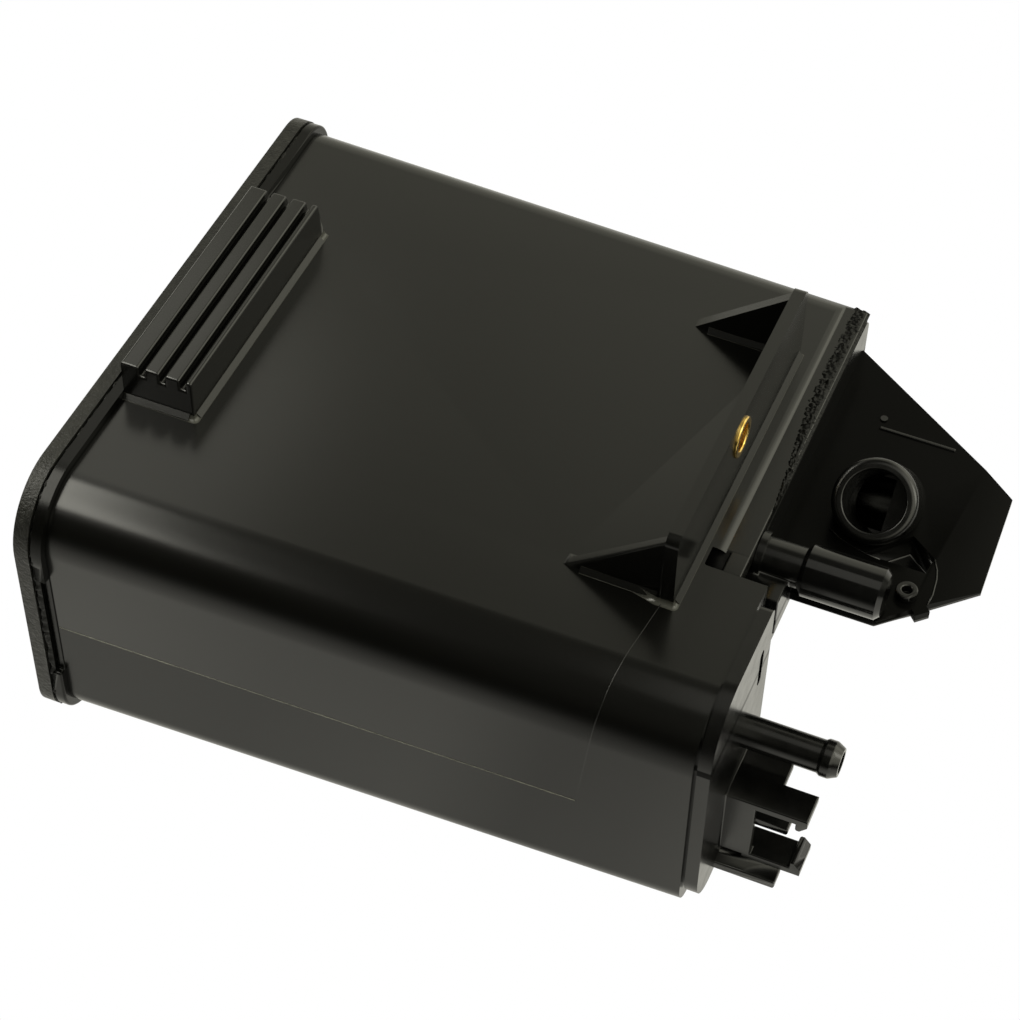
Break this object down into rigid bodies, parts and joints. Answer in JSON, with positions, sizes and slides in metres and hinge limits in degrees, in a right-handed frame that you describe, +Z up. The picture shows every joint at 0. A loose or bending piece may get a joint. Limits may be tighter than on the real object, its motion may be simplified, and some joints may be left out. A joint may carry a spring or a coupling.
{
  "type": "charcoal canister",
  "caption": "Box-shaped moulded fuel vapour canister with welded end caps, hose nipple, vent port on a bracket plate, bolt rail and ribbed mounting pad, filled with activated carbon.",
  "frame": {"origin": "middle of the bounding box at the height of the lowest edge, the bottom of the cover rim", "axes": "+X from the end cover to the ports, -Y the front with the purge chamber, +Z up to the rail and the ribbed pad"},
  "size_m": [0.252, 0.1868, 0.1139],
  "materials": {
    "housing_plastic": "satin black",
    "cover_plastic": "satin black",
    "cap_plastic": "satin black",
    "bush_brass": "bright",
    "cap_rubber": "glossy black",
    "carbon": "matt granules",
    "fleece": "fibrous",
    "grid_plastic": "matt",
    "spring_steel": "drawn"
  },
  "bodies": {
    "root": {"housing": "housing_plastic", "end_cover": "cover_plastic", "purge_cap": "cap_plastic", "vent_cap": "cap_plastic", "mount_bush": "bush_brass", "nozzle_cap": "cap_rubber", "main_bed": "carbon", "purge_bed": "carbon", "main_port_filter": "fleece", "purge_port_filter": "fleece", "main_cover_filter": "fleece", "purge_cover_filter": "fleece", "main_grid": "grid_plastic", "purge_grid": "grid_plastic", "main_plate": "grid_plastic", "purge_plate": "grid_plastic", "main_spring_front": "spring_steel", "main_spring_back": "spring_steel", "purge_spring": "spring_steel"}
  },
  "joints": []
}
